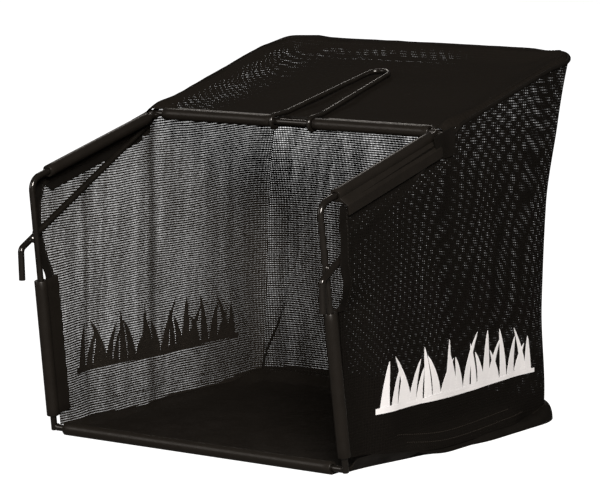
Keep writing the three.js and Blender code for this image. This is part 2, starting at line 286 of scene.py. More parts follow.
class Graph:
    """A material and short ways to add nodes to it."""

    def __init__(self, name, colour, roughness, specular=0.5):
        self.material = bpy.data.materials.new(name)
        self.material.use_nodes = True
        self.tree = self.material.node_tree
        self.shader = self.tree.nodes["Principled BSDF"]
        self.shader.inputs["Base Color"].default_value = (*colour, 1)
        self.shader.inputs["Roughness"].default_value = roughness
        self.shader.inputs["Specular IOR Level"].default_value = specular

    def node(self, kind, **settings):
        made = self.tree.nodes.new(kind)
        for key, value in settings.items():
            setattr(made, key, value)
        return made

    def link(self, source, target):
        if isinstance(source, (int, float)):
            target.default_value = source
        else:
            self.tree.links.new(source, target)

    def math(self, operation, *values):
        made = self.node("ShaderNodeMath", operation=operation)
        for value, socket in zip(values, made.inputs):
            self.link(value, socket)
        return made.outputs[0]

    def ramp(self, value, from_low, from_high, to_low=0.0, to_high=1.0, smooth=True):
        kind = "SMOOTHSTEP" if smooth else "LINEAR"
        made = self.node("ShaderNodeMapRange", interpolation_type=kind)
        for source, socket in zip((value, from_low, from_high, to_low, to_high), made.inputs):
            self.link(source, socket)
        return made.outputs["Result"]

    def region(self, places, strength, ramps):
        """Strength times the product of smooth ramps over the cloth."""
        value = strength
        for axis, start, end in ramps:
            value = self.math("MULTIPLY", value, self.ramp(places[axis], start, end))
        return value

    def here(self, scale):
        """Object coordinates in millimetres, stretched by scale."""
        coordinates = self.node("ShaderNodeTexCoord")
        mapping = self.node("ShaderNodeMapping")
        mapping.inputs["Scale"].default_value = [s / MM for s in scale]
        self.link(coordinates.outputs["Object"], mapping.inputs["Vector"])
        return mapping.outputs["Vector"]

    def noise(self, size, detail=2.0, scale=(1, 1, 1)):
        """Noise whose features are about size millimetres across."""
        made = self.node("ShaderNodeTexNoise")
        made.inputs["Scale"].default_value = 1 / size
        made.inputs["Detail"].default_value = detail
        self.link(self.here(scale), made.inputs["Vector"])
        return made.outputs["Fac"]

    def colour_between(self, factor, dark, light):
        made = self.node("ShaderNodeMix", data_type="RGBA")
        self.link(factor, made.inputs["Factor"])
        made.inputs["A"].default_value = (*dark, 1)
        made.inputs["B"].default_value = (*light, 1)
        self.link(made.outputs["Result"], self.shader.inputs["Base Color"])

    def roughness(self, value):
        self.link(value, self.shader.inputs["Roughness"])

    def bump(self, height, strength, distance_mm):
        made = self.node("ShaderNodeBump")
        made.inputs["Strength"].default_value = strength
        made.inputs["Distance"].default_value = distance_mm * MM
        self.link(height, made.inputs["Height"])
        self.link(made.outputs["Normal"], self.shader.inputs["Normal"])

    def cells(self, pitch_u, pitch_v):
        """Distances from the middle of the weave cell across and along the cloth, 0 to 1, a chance
        value for each cell, and the place in the cloth in millimetres."""
        coordinates = self.node("ShaderNodeUVMap", uv_map="weave")
        split = self.node("ShaderNodeSeparateXYZ")
        self.link(coordinates.outputs["UV"], split.inputs["Vector"])
        found = []
        whole = self.node("ShaderNodeCombineXYZ")
        for socket, pitch in (("X", pitch_u), ("Y", pitch_v)):
            count = self.math("DIVIDE", split.outputs[socket], pitch)
            off_middle = self.math("SUBTRACT", self.math("FRACT", count), 0.5)
            found.append(self.math("MULTIPLY", self.math("ABSOLUTE", off_middle), 2.0))
            self.link(self.math("FLOOR", count), whole.inputs[socket])
        chance = self.node("ShaderNodeTexWhiteNoise", noise_dimensions="2D")
        self.link(whole.outputs["Vector"], chance.inputs["Vector"])
        return *found, chance.outputs["Value"], split.outputs


def painted_wire():
    """Black powder coat: nearly smooth, with fine orange peel and slightly duller patches."""
    graph = Graph("black_paint", warm(0.008), 0.25, 0.5)
    patches = graph.noise(14, 3)
    graph.colour_between(patches, warm(0.005), warm(0.011))
    graph.roughness(graph.ramp(patches, 0.35, 0.7, 0.12, 0.22))
    graph.bump(graph.noise(1.1, 2), 0.1, 0.12)
    return graph.material


def sleeve_plastic():
    """Extruded black plastic: fine scuffs and a dull sheen."""
    graph = Graph("sleeve_plastic", warm(0.011), 0.35, 0.22)
    graph.colour_between(graph.noise(18, 3), warm(0.0085), warm(0.0135))
    graph.roughness(graph.ramp(graph.noise(6, 4), 0.3, 0.7, 0.28, 0.38))
    graph.bump(graph.noise(1.6, 2), 0.06, 0.15)
    return graph.material


def mesh_cloth(
    name,
    hole,
    tone,
    streaks,
    pitch,
    pleats=(),
    fades=(),
    bands=(),
    patch=(16, 0.14),
    edge=0.1,
    sheen=0.06,
    chances=0.2,
):
    """Open black mesh: holes between yarns, uneven from one to the next and in upright streaks.

    hole is the open share of a weave cell across and up, and pitch the cell's size in millimetres.
    patch is the streaks' size and how far they are drawn out upwards, edge how soft a hole's edge is,
    and chances how much one cell differs from the next. fades close the holes in some regions and
    bands keep them open only there: a strength, then ramps over the cloth, as axis, start and end."""
    graph = Graph(name, warm(tone), 0.7, sheen)
    across, up, chance, places = graph.cells(*pitch)
    streak = graph.noise(patch[0], 3, (1, 1, patch[1]))
    openness = graph.ramp(streak, 0.32, 0.68, 1 - streaks, 1 + streaks)
    uneven = graph.ramp(chance, 0, 1, 1 - chances, 1 + chances, smooth=False)
    openness = graph.math("MULTIPLY", openness, uneven)
    for centre, half_width, strength in pleats:
        away = graph.math("ABSOLUTE", graph.math("SUBTRACT", places["X"], centre))
        shut = graph.ramp(away, 0, half_width, 1 - strength, 1)
        openness = graph.math("MULTIPLY", openness, shut)
    for strength, *ramps in fades:
        kept = graph.math("SUBTRACT", 1.0, graph.region(places, strength, ramps))
        openness = graph.math("MULTIPLY", openness, kept)
    if bands:
        shown = [graph.region(places, strength, ramps) for strength, *ramps in bands]
        openness = graph.math("MULTIPLY", openness, graph.math("MAXIMUM", shown[0], shown[-1]))
    wide = graph.math("MULTIPLY", openness, hole[0])
    high = graph.math("MULTIPLY", openness, hole[1])
    hole_u = graph.ramp(graph.math("SUBTRACT", wide, across), -edge, edge)
    hole_v = graph.ramp(graph.math("SUBTRACT", high, up), -edge, edge)
    open_here = graph.math("MULTIPLY", hole_u, hole_v)
    graph.link(graph.math("SUBTRACT", 1.0, open_here), graph.shader.inputs["Alpha"])
    yarn = graph.noise(3, 2)
    graph.colour_between(yarn, warm(tone * 0.7), warm(tone * 1.35))
    graph.roughness(graph.ramp(yarn, 0.3, 0.7, 0.7, 0.88))
    graph.bump(graph.math("ADD", across, up), 0.5, 0.3)
    return graph.material


def dense_cloth(name, tone, pitch, bump_mm, rough_low, rough_high, specular):
    """Closed black cloth with a fine plain weave and soft tonal patches."""
    graph = Graph(name, warm(tone), rough_high, specular)
    across, up, _, _ = graph.cells(pitch, pitch)
    patches = graph.noise(26, 4)
    graph.colour_between(patches, warm(tone * 0.75), warm(tone * 1.3))
    graph.roughness(graph.ramp(patches, 0.3, 0.7, rough_low, rough_high))
    graph.bump(graph.math("MAXIMUM", across, up), 0.5, bump_mm)
    return graph.material


PRINT_WEAVE = (2.0, 2.7)


def printed_ink():
    """White screen print that takes the weave below it."""
    graph = Graph("white_print", (0.8, 0.8, 0.82), 0.6, 0.2)
    across, up, _, _ = graph.cells(*PRINT_WEAVE)
    graph.bump(graph.math("ADD", across, up), 0.3, 0.2)
    graph.colour_between(graph.noise(9, 4), (0.84, 0.85, 0.89), (0.93, 0.94, 0.97))
    return graph.material


def thread(name, tone):
    """Twisted sewing thread."""
    graph = Graph(name, warm(tone), 0.6, 0.15)
    graph.bump(graph.noise(0.5, 1), 0.4, 0.1)
    graph.colour_between(graph.noise(4, 2), warm(tone * 0.6), warm(tone * 1.3))
    return graph.material


PAINT = painted_wire()
PLASTIC = sleeve_plastic()

# Regions of the meshes, in millimetres over the cloth: X to the back or to the right, Y upwards, and on
# the roof Y backwards from its front edge.
PLEATS = ((67, 8, 0.3), (187, 12.8, 0.45))  # upright pulls in the side walls: place, half width, strength
LEFT_FADES = ((0.5, ("X", 170, 385), ("Y", 340, 200)), (0.2, ("Y", 100, 20)))
RIGHT_FADES = ((0.5, ("Y", 110, 30)), (0.3, ("X", 120, 40)))
BACK_FADES = ((0.5, ("Y", 350, 200)), (0.2, ("Y", 120, 30)))
SEAM_FADES = ((0.65, ("Y", 120, 50)),)
ROOF_BANDS = (
    (1.0, ("X", -184, -174), ("X", -100, -165), ("Y", 250, 200)),
    (0.62, ("Y", 200, 224), ("Y", 248, 232), ("X", -150, -120), ("X", 90, 0)),
)
# One black mesh in lit and shaded copies: its yarn tone is painted lighter on the left wall and darker on
# the right wall, painted light and shade for how the lamps fall on each wall.
SIDE_MESH = {
    "left": mesh_cloth("left_mesh", (0.325, 0.36), 0.015, 0.14, (2.0, 2.7), PLEATS, LEFT_FADES),
    "right": mesh_cloth(
        "right_mesh", (0.27, 0.29), 0.0055, 0.3, (3.6, 3.1), PLEATS, RIGHT_FADES, edge=0.4, chances=0.06
    ),
}
# The back wall's copy of the mesh has its yarn tone painted darker, painted shade.
BACK_MESH = mesh_cloth("back_mesh", (0.47, 0.4), 0.009, 0.25, (2.0, 2.6), fades=BACK_FADES)
SEAM_MESH = mesh_cloth("seam_mesh", (0.85, 0.85), 0.006, 0.15, (2.0, 2.6), fades=SEAM_FADES)
# The roof's yarn tone is painted lighter and its specular kept low: a painted sheen that stands in for
# glare from above.
ROOF_MESH = mesh_cloth(
    "roof_mesh", (0.42, 0.34), 0.0105, 0.5, (2.4, 5.0), bands=ROOF_BANDS, patch=(30, 1), sheen=0.015
)
# The floor's tone is painted lighter, a painted sheen.
FLOOR = dense_cloth("floor_coating", 0.0105, 1.4, 0.06, 0.34, 0.5, 0.12)
BINDING = dense_cloth("binding_tape", 0.006, 1.2, 0.18, 0.6, 0.85, 0.08)
INK = printed_ink()
THREAD = thread("black_thread", 0.01)
PALE_THREAD = thread("pale_thread", 0.035)
INK_BACK = dense_cloth("print_back", 0.06, 1.2, 0.1, 0.7, 0.9, 0.08)

# ---------------------------------------------------------------- wire frame
HOOK_TIP = (-46.5, 173.5)  # Y and Z of a hook's lower end
HOOK_BEND = (-48, 207.6)  # Y and Z of the bend above it
HOOK_RISE = 0.5276  # how steeply the brace rod climbs from there to the top bar

BAIL_R = 2.7
BAIL_RING = WIRE_R + BAIL_R + 0.6  # radius of the eyes' centre line
BAIL_X = 25  # the eyes' distance from the middle
BAIL_TOUCH = 24  # how far up the roof the legs come down on it
BAIL_LIES = 0.6 + BAIL_R  # the legs' height above the roof's plane there
BAIL_TIP = 14  # radius of the bend at the far end
BAIL_REACH = 180
BAIL_SINKS = 2.5  # the roof sags under the bail's far end


def wires():
    """The welded mouth frame: hoop wires, brace rods with their hooks, cross bars and weld beads."""
    for word, sign in SIDES:
        shell = Shell()
        foot = Vector((sign * FOOT.x, FOOT.y, FOOT.z))
        bend = Vector((sign * BEND.x, BEND.y, BEND.z))
        path = rounded([foot, bend, on_slope(sign * BEND.x, -WIRE_R - 0.2)], BEND_RADIUS, 14)
        add_tube(shell, resampled(path, 20), WIRE_R, 24)
        hoop = shell.build(f"mouth_wire_{word}", [PAINT])
        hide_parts(f"upright_wire_{word}", f"slope_wire_{word}")

        rod_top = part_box(f"hook_rod_{word}")[1].z / MM
        bar_height = HOOK_BEND[1] + HOOK_RISE * (BAR.y - HOOK_BEND[0])
        sides = (HOOK_TIP, HOOK_BEND, (BAR.y, bar_height), (BAR.y, rod_top))
        corners = [(sign * ROD_X, y, z) for y, z in sides]
        shell = Shell()
        add_tube(shell, resampled(rounded(corners, 7, 12), 20), WIRE_R, 24)
        rod = shell.build(f"hook_wire_{word}", [PAINT])
        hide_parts(f"hook_rod_{word}")

    for name, centre, end in (("top_bar", BAR, BAR_END), ("bottom_bar", BOTTOM_BAR, BOTTOM_BAR_END)):
        shell = Shell()
        ends = [Vector((x, centre.y, centre.z)) for x in (-end, end)]
        add_tube(shell, resampled(ends, 15), WIRE_R, 24)
        bar = shell.build(f"{name}_wire", [PAINT])
        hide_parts(name)

    beads = Shell()
    for seed, (_, sign) in enumerate(SIDES):
        add_lump(beads, on_slope(sign * BEND.x, -4, -1.5), (4.0, 4.6, 3.6), seed)
        add_lump(beads, (sign * (FOOT.x - 3.8), 0.6, BOTTOM_BAR.z + 0.3), (3.6, 3.8, 4.0), seed + 5)
        add_lump(beads, (sign * ROD_X, BAR.y, BAR.z - 4.8), (3.7, 3.8, 2.8), seed + 9)
        add_lump(beads, (sign * 191.9, -31.6, 217.0), (3.0, 3.9, 4.4), seed + 14)
    beads.build("weld_beads", [PAINT])


def bail():
    """The carrying bail: an eye round the top bar at each end, two legs and a tight bend between them."""
    shell = Shell()
    path = []
    for degrees in range(340, 90, -10):
        turn = math.radians(degrees)
        path.append(on_slope(-BAIL_X, BAIL_RING * math.cos(turn), BAIL_RING * math.sin(turn)))
    path.append(on_slope(-BAIL_X, 0, BAIL_RING))
    centre = BAIL_REACH - BAIL_TIP
    tip = []
    for degrees in range(180, -1, -8):
        turn = math.radians(degrees)
        along = centre + BAIL_TIP * math.sin(turn)
        tip.append(on_slope(BAIL_TIP * math.cos(turn), along, BAIL_LIES - BAIL_SINKS))
    touch_x = mix(BAIL_X, BAIL_TIP, BAIL_TOUCH / centre)
    touch = on_slope(-touch_x, BAIL_TOUCH, BAIL_LIES)
    leg = rounded([path[-1], touch, tip[0]], 30, 6)
    path += resampled(leg, 12)[1:-1] + tip
    mirrored = [Vector((-p.x, p.y, p.z)) for p in path[: path.index(tip[0])]]
    path += mirrored[::-1]
    add_tube(shell, path, BAIL_R, 24)
    made = shell.build("bail_wire", [PAINT], body="bail")
    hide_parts("carry_bail")


# ---------------------------------------------------------------- sleeves
SLEEVE_FILLET = 0.7


def sleeve_outline(radius, leaves, comes_back, flange):
    """The outline of a sleeve seen along its wire, with its corners rounded. It leaves the round part
    at one angle, follows the flange's corners and comes back to it at the other."""
    arc = []
    span = 360 - (comes_back - leaves)
    for k in range(31):
        turn = math.radians(comes_back + span * k / 30)
        arc.append(Vector((radius * math.cos(turn), radius * math.sin(turn), 0)))
    corners = [arc[-1], *[Vector((a, b, 0)) for a, b in flange], arc[0]]
    outline = arc[:-1] + rounded(corners, SLEEVE_FILLET, 4)[:-1]
    kept_flat = []
    for a, b in zip(outline, outline[1:] + outline[:1]):
        kept_flat.append(a)
        reach = (b - a).length
        if reach > 1.6:
            kept_flat += [a.lerp(b, 0.35 / reach), b.lerp(a, 0.35 / reach)]
    return kept_flat


def close_sleeve_ends(piece, start, end):
    """Fills each end of the sleeve between its outline and its bore."""
    work = bmesh.new()
    work.from_mesh(piece.data)
    for here, there in ((start, end), (end, start)):
        rim = []
        for edge in work.edges:
            spot = edge.verts[0].co
            if edge.is_boundary and (spot - here).length < (spot - there).length:
                rim.append(edge)
        bmesh.ops.triangle_fill(work, use_beauty=True, edges=rim)
    bmesh.ops.recalc_face_normals(work, faces=work.faces)
    work.to_mesh(piece.data)
    work.free()
    piece.data.set_sharp_from_angle(angle=math.radians(35))


def sleeve(name, outline, start, axes, length, seed):
    """Extrudes an outline along a straight wire. axes point along the wire, across and up."""
    direction, across, up = axes
    count = max(2, round(length / 9))
    stations = [0, 0.5]
    stations += [0.5 + (length - 1) * k / count for k in range(1, count)]
    stations += [length - 0.5, length]
    bore = []
    for k in range(24):
        turn = 2 * math.pi * k / 24
        bore.append(Vector((math.cos(turn), math.sin(turn), 0)) * (WIRE_R + 0.35))
    shell = Shell()
    for loop, chamfer in ((outline, 0.35), (bore, -0.3)):
        points = []
        for distance in stations:
            shrink = chamfer if distance in (0, length) else 0.0
            for k, point in enumerate(loop):
                ahead = loop[(k + 1) % len(loop)] - loop[k - 1]
                moved = point + Vector((-ahead.y, ahead.x, 0)).normalized() * shrink
                sway = 0.25 * smooth_step(7, FLANGE, point.length) * wobble(distance, 0, 0, 40, seed)
                spot = start + direction * distance + across * (moved.x + sway)
                points.append(spot + up * (moved.y + sway * 0.6))
        shell.add(points, grid_faces(len(stations), len(loop), closed=True))
    piece = shell.build(name, [PLASTIC], sharp=35)
    close_sleeve_ends(piece, place(start), place(start + direction * length))
    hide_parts(name.replace("grip", "sleeve"))


# where each kind of sleeve starts and ends along its wire
TOP_SLEEVE = (28.3, 176)
SLOPE_SLEEVE = (28, SLOPE_LENGTH - 18)
UPRIGHT_SLEEVE = (17, 169)


def sleeves():
    """Two sleeves on the top bar, one on each slope wire and upright, and one on the bottom bar."""
    slope_up = Vector((0, -math.sin(SLOPE), math.cos(SLOPE)))
    slope_back = Vector((0, math.cos(SLOPE), math.sin(SLOPE)))
    top = sleeve_outline(6.5, -17, 5, [(FLANGE, -1.9), (FLANGE, 0.5)])
    slope = sleeve_outline(6.5, -60, -20, [(12.5, -10.3), (12.5, -FLANGE), (14.6, -FLANGE), (14.6, -9.5)])
    upright = sleeve_outline(7, -37, -15, [(UPRIGHT_FLANGE, -4.2), (UPRIGHT_FLANGE, -1.8)])
    bottom = sleeve_outline(7, -80, -20, [(22, -6.6), (22, -4.2), (10, -4.2)])
    for word, sign in SIDES:
        outwards = Vector((sign, 0, 0))
        start = Vector((sign * TOP_SLEEVE[0], BAR.y, BAR.z))
        length = TOP_SLEEVE[1] - TOP_SLEEVE[0]
        sleeve(f"top_grip_{word}", top, start, (outwards, slope_back, slope_up), length, 3 * sign)

        start = on_slope(sign * BEND.x, SLOPE_SLEEVE[0] - SLOPE_LENGTH)
        length = SLOPE_SLEEVE[1] - SLOPE_SLEEVE[0]
        sleeve(f"slope_grip_{word}", slope, start, (slope_back, outwards, slope_up), length, 5 * sign)

        flip = Vector((sign, 1, 1))
        start = beside_upright(UPRIGHT_SLEEVE[0], 0) * flip
        axes = (UPRIGHT_AXIS * flip, UPRIGHT_BACK * flip, UPRIGHT_OUT * flip)
        length = UPRIGHT_SLEEVE[1] - UPRIGHT_SLEEVE[0]
        sleeve(f"upright_grip_{word}", upright, start, axes, length, 7 * sign)
    start = Vector((-TOP_SLEEVE[1], BOTTOM_BAR.y, BOTTOM_BAR.z))
    axes = (Vector((1, 0, 0)), Vector((0, 1, 0)), Vector((0, 0, 1)))
    sleeve("bottom_grip", bottom, start, axes, 2 * TOP_SLEEVE[1], 11)


# ---------------------------------------------------------------- cloth shapes
BACK_FOOT = Vector((0, 392.5, 4))
BACK_HANDLES = (Vector((0, 408, 110)), Vector((0, 390, 275)))
BACK_HEAD = Vector((0, 447, 402))
BACK_LINE = interpolate_bezier(BACK_FOOT, *BACK_HANDLES, BACK_HEAD, 40)


def back_y(z):
    """How far back the middle of the back wall is at height z."""
    for low, high in zip(BACK_LINE, BACK_LINE[1:]):
        if z <= high.z:
            return mix(low.y, high.y, (z - low.z) / (high.z - low.z))
    return BACK_LINE[-1].y


def corner_radius(z):
    """Radius of the wall's upright rear corners: tight at the floor, wide above, less under the roof."""
    return mix(22, 42, smooth_step(10, 130, z)) - 12 * smooth_step(240, 330, z)


ROOF_REAR = back_y(398)  # how far back the roof reaches, at the height of its rear edge
ROOF_CORNER = corner_radius(398)  # radius of the roof's rear corners


def floor_seam(y, sign):
    """Height of the seam between the wall and the floor along a side."""
    front = 15 * (1 - smooth_step(0, 170, y))
    rear = 10 * smooth_step(330, 395, y)
    return (6 if sign > 0 else 4) + front * (0.8 if sign > 0 else 0.25) + rear


def roof_z(x, y):
    """Height of the roof's upper face: its sewn edges stand up, its middle sags."""
    along = (y - BAR.y) / math.cos(SLOPE)
    plane = on_slope(0, along, 0).z
    left_edge = mix(3.5, 6.0, smooth_step(200, 330, y)) + 2.0 * math.exp(-(((y - 385) / 45) ** 2))
    left_edge -= 3.5 * smooth_step(395, 440, y)
    edge = left_edge if x < 0 else 4.5
    near_edge = smooth_step(WALL_X - 40, WALL_X - 3, abs(x)) * smooth_step(186, 205, y)
    sag = 3.0 * smooth_step(0, 70, WALL_X - abs(x)) * smooth_step(195, 260, y) * smooth_step(446, 395, y)
    droop = 4 * smooth_step(175, 199, x) * smooth_step(410, 447, y)
    rear = mix(5.0, 4.2, (x + WALL_X) / (2 * WALL_X)) * smooth_step(410, 445, y)
    gather = 2.5 * math.exp(-(((x + 158) / 16) ** 2)) * smooth_step(415, 442, y)
    return plane + 0.2 + edge * near_edge - sag - droop + rear + gather


def wall_out(y, z, sign):
    """How far a side wall stands out from its flat plane."""
    inside = smooth_step(20, 90, y) * smooth_step(400, 330, y) * smooth_step(5, 60, z)
    waves = 2.2 * wobble(y, sign * 40, z * 0.35, 75) + wobble(y, sign * 90, z * 0.3, 28)
    flare = (11 if sign > 0 else 2) * smooth_step(32, 8, z)
    flare *= smooth_step(60, 130, y) * smooth_step(345, 290, y)
    flange_end = beside_upright(z, UPRIGHT_FLANGE).y
    pulled_in = 9.2 * smooth_step(flange_end + 60, flange_end + 2, y) * smooth_step(205, 168, z)
    out = inside * (waves + 2) + flare - pulled_in
    below_slope = on_slope(0, (y - BAR.y) / math.cos(SLOPE)).z - z
    behind_lip = smooth_step(38, 24, below_slope) * smooth_step(195, 172, y)
    return mix(out, min(out, -2.2), behind_lip)


def wall_point(y, z, sign, off=0.0):
    """A point of a side wall's surface, or off millimetres outside it."""
    return Vector((sign * (WALL_X + wall_out(y, z, sign) + off), y, z))


SIDE_COLUMNS = 70
CORNER_COLUMNS = 8
WALL_ROWS = 64

# the two edges of the hem on a side wall's free front edge, as Y and Z, from the sleeve upwards
HEM_IN = ((1, 171), (0, 190), (-3, 205), (-8, 220), (-9, 250), (-7, 274))
HEM_OUT = ((-12, 171), (-13, 188), (-17, 203), (-22, 218), (-22, 252), (-20, 279))


def side_outline(sign):
    """The four edges of a side wall in the (Y, Z) plane, each as a function of its share."""
    in_sleeve = [beside_upright(UPRIGHT_SLEEVE[0] + 2, 10), beside_upright(UPRIGHT_SLEEVE[1], 12)]
    for point in in_sleeve:
        point.x = 0
    slope_end = on_slope(0, SLOPE_SLEEVE[1] - SLOPE_LENGTH, -4)
    seam_start = on_slope(0, -13, 1)
    back_top = ROOF_REAR - ROOF_CORNER
    seam = [Vector((0, mix(seam_start.y, back_top, k / 12), 0)) for k in range(13)]
    for point in seam:
        point.z = roof_z(sign * WALL_X, point.y) - 3.5
    bottom = [Vector((0, mix(9, back_y(12) - corner_radius(12), k / 20), 0)) for k in range(21)]
    for point in bottom:
        point.z = floor_seam(point.y, sign)
    back_low = bottom[-1].z
    back_high = seam[-1].z
    back = []
    for k in range(21):
        z = mix(back_low, back_high, k / 20)
        back.append(Vector((0, back_y(z) - corner_radius(z), z)))
    front = [bottom[0], *in_sleeve, *[Vector((0, y, z)) for y, z in HEM_OUT[1:]]]
    top = [front[-1], slope_end, *seam]
    return along_line(bottom), along_line(top), along_line(front), along_line(back)


def side_point(edges, u, t):
    """A point of a side wall by its shares along and up: a patch hung between its four edges."""
    bottom, top, front, back = edges
    ruled = bottom(u).lerp(top(u), t) + front(t).lerp(back(t), u)
    corners = bottom(0).lerp(top(0), t).lerp(bottom(1).lerp(top(1), t), u)
    return ruled - corners


def corner_point(z, angle, sign):
    """A point of the rounded rear corner. The angle runs from the side wall, 0, to the back wall, 90."""
    radius = corner_radius(z)
    turn = math.radians(angle)
    x = WALL_X - radius + radius * math.cos(turn)
    y = back_y(z) - radius + radius * math.sin(turn)
    return Vector((sign * x, y, z))


def back_bow(x, z):
    """How far the back wall's upper edge bows out behind its corners."""
    return 8 * smooth_step(250, 400, z) * (1 - (x / WALL_X) ** 2)


def bowed_back(x, y):
    """The Y of a point of the roof once its rear edge has bowed out between the corners."""
    return y + back_bow(x, 402) * smooth_step(300, ROOF_REAR, y)


def near_right_corner(x, y):
    """1 at the roof's rear right corner, falling to 0 away from it."""
    return smooth_step(55, 15, math.hypot(x - 185, y - (ROOF_REAR - 15)))


def side_wall(word, sign):
    """A side wall of mesh, with half of its rear corner."""
    edges = side_outline(sign)
    points = []
    weave = []
    for r in range(WALL_ROWS + 1):
        t = r / WALL_ROWS
        for c in range(SIDE_COLUMNS + 1):
            flat = side_point(edges, c / SIDE_COLUMNS, t)
            points.append(wall_point(flat.y, flat.z, sign))
            weave.append(cloth_place(flat.y, flat.z, sign))
        for k in range(1, CORNER_COLUMNS // 2 + 1):  # on round the corner, at the last point's height
            angle = 90 * k / CORNER_COLUMNS
            points.append(corner_point(flat.z, angle, sign))
            bend = corner_radius(flat.z) * math.radians(angle)
            weave.append(cloth_place(flat.y + bend, flat.z, sign))
    columns = SIDE_COLUMNS + 1 + CORNER_COLUMNS // 2
    shell = Shell()
    shell.add(points, grid_faces(WALL_ROWS + 1, columns), weave=weave)
    wall = shell.build(f"mesh_wall_{word}", [SIDE_MESH[word]], sharp=180)
    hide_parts(f"side_panel_{word}")


def cloth_place(across, up, seed):
    """Where a point lies in the weave, which isn't quite straight."""
    shift = 2.2 * wobble(across, up, 0, 90, 3 + seed)
    rise = 2.6 * wobble(across, up, 40, 110, 5 + seed) + 0.8 * wobble(across, up, 80, 35, seed)
    return across + shift, up + rise


BACK_COLUMNS = 60


def back_row(t, low_z, high_z):
    """One level line of the back wall, from the middle of the left corner to that of the right one."""

    def corner(sign):
        z = mix(low_z[sign], high_z[sign], t)
        angles = [90 * k / CORNER_COLUMNS for k in range(CORNER_COLUMNS // 2, CORNER_COLUMNS)]
        return [corner_point(z, angle, sign) for angle in angles]

    row = corner(-1)
    for c in range(BACK_COLUMNS + 1):
        share = c / BACK_COLUMNS
        z_left, z_right = (mix(low_z[s], high_z[s], t) for s in (-1, 1))
        z = mix(z_left, z_right, share)
        bow = math.sin(math.pi * share)
        low_dip = 8 * bow * (1 - t) ** 3
        high_lift = (roof_z(0, 440) - 4 - mix(high_z[-1], high_z[1], share)) * bow * t**3
        z += high_lift - low_dip
        reach = WALL_X - corner_radius(z)
        x = mix(-reach, reach, share)
        inside = smooth_step(0, 0.15, share) * smooth_step(1, 0.85, share)
        fold = 2.5 * wobble(x, 300, z * 0.4, 60) * inside * smooth_step(0, 40, z)
        row.append(Vector((x, back_y(z) + back_bow(x, z) * inside + fold, z)))
    return row + corner(1)[::-1]


def back_wall():
    """The back wall, with half of each rear corner."""
    low_z = {sign: side_outline(sign)[3](0).z for _, sign in SIDES}
    high_z = {sign: side_outline(sign)[3](1).z for _, sign in SIDES}
    points = []
    weave = []
    for r in range(WALL_ROWS + 1):
        row = back_row(r / WALL_ROWS, low_z, high_z)
        reach = 0.0
        for i, point in enumerate(row):
            if i:
                step = point - row[i - 1]
                reach += math.hypot(step.x, step.y)
            weave.append(cloth_place(reach, point.z, 9))
        points += row
    shell = Shell()
    columns = len(points) // (WALL_ROWS + 1)
    shell.add(points, grid_faces(WALL_ROWS + 1, columns), weave=weave)
    wall = shell.build("mesh_wall_back", [BACK_MESH], sharp=180)
    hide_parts("back_panel")


def rear_corner_seams():
    """The seam allowance inside each rear corner, a strip that follows the corner's bend."""
    for word, sign in SIDES:
        low = side_outline(sign)[3](0).z + 4
        high = side_outline(sign)[3](1).z - 3
        points = []
        weave = []
        rows, columns = 60, 5
        for r in range(rows):
            z = mix(low, high, r / (rows - 1))
            for c in range(columns):
                angle = mix(40, 76, smooth_step(5, 90, z)) + 6 * c / (columns - 1)
                angle += 2 * wobble(c * 9, 0, z, 25, sign)
                turn = math.radians(angle)
                outer = corner_point(z, angle, sign)
                inward = Vector((-sign * math.cos(turn), -math.sin(turn), 0))
                points.append(outer + inward * 0.9)
                weave.append((c * 2.0, z))
        shell = Shell()
        shell.add(points, grid_faces(rows, columns), weave=weave)
        strip = shell.build(f"corner_seam_{word}", [SEAM_MESH], sharp=180)
        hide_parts(f"back_tape_{word}")


def roof_half_width(y):
    """Half width of the roof: straight, then round the rear corners."""
    centre = ROOF_REAR - ROOF_CORNER
    if y <= centre:
        return WALL_X
    return WALL_X - ROOF_CORNER + math.sqrt(max(0.0, ROOF_CORNER**2 - (y - centre) ** 2))


ROOF_ROWS = 60
ROOF_COLUMNS = 80


def roof():
    """The roof of close mesh. At the front its sides end in flaps that lap over the mouth's corners."""
    front = on_slope(0, 13, 0).y
    points = []
    weave = []
    for r in range(ROOF_ROWS + 1):
        v = r / ROOF_ROWS
        y = mix(front, ROOF_REAR, 1 - (1 - v) ** 1.25)
        half = roof_half_width(min(y, ROOF_REAR - 0.4))
        for c in range(ROOF_COLUMNS + 1):
            share = 2 * c / ROOF_COLUMNS - 1
            x = half * math.copysign(1 - (1 - abs(share)) ** 1.15, share)
            z = roof_z(x, y)
            flap = smooth_step(177, 189, abs(x)) * (1 - v) ** 10
            z += (6.5 - 4.8 * (1 - v) ** 30) * flap * smooth_step(199, 192, abs(x))
            lip = max(0.0, abs(x) - (half - 9)) / 9
            rear_lip = max(0.0, y - (ROOF_REAR - 9)) / 9
            curl = 5.5 + 3 * near_right_corner(x, y)
            z -= curl * min(1.0, lip**2 + rear_lip**2)
            cushion = smooth_step(0, 25, y - front)
            z += 0.9 * wobble(x, y, 0, 55) * cushion + 0.35 * wobble(x, y, 9, 16) * cushion
            pucker = smooth_step(90, 10, math.hypot(x - 180, y - (ROOF_REAR - ROOF_CORNER / 2)))
            spread = math.atan2(y - ROOF_REAR, x - 190)
            z += 0.5 * pucker * math.sin(11 * spread)
            points.append(Vector((x, bowed_back(x, y) - 19 * flap, z)))
            weave.append((x, (y - front) / math.cos(SLOPE)))
    shell = Shell()
    shell.add(points, grid_faces(ROOF_ROWS + 1, ROOF_COLUMNS + 1), weave=weave)
    cloth = shell.build("roof_cloth", [ROOF_MESH], sharp=180)
    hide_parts("roof_panel")


FLOOR_BACK = 419
FLOOR_CORNER = 345  # where the floor's rear corners begin
FLOOR_ROWS = 90
FLOOR_COLUMNS = 90


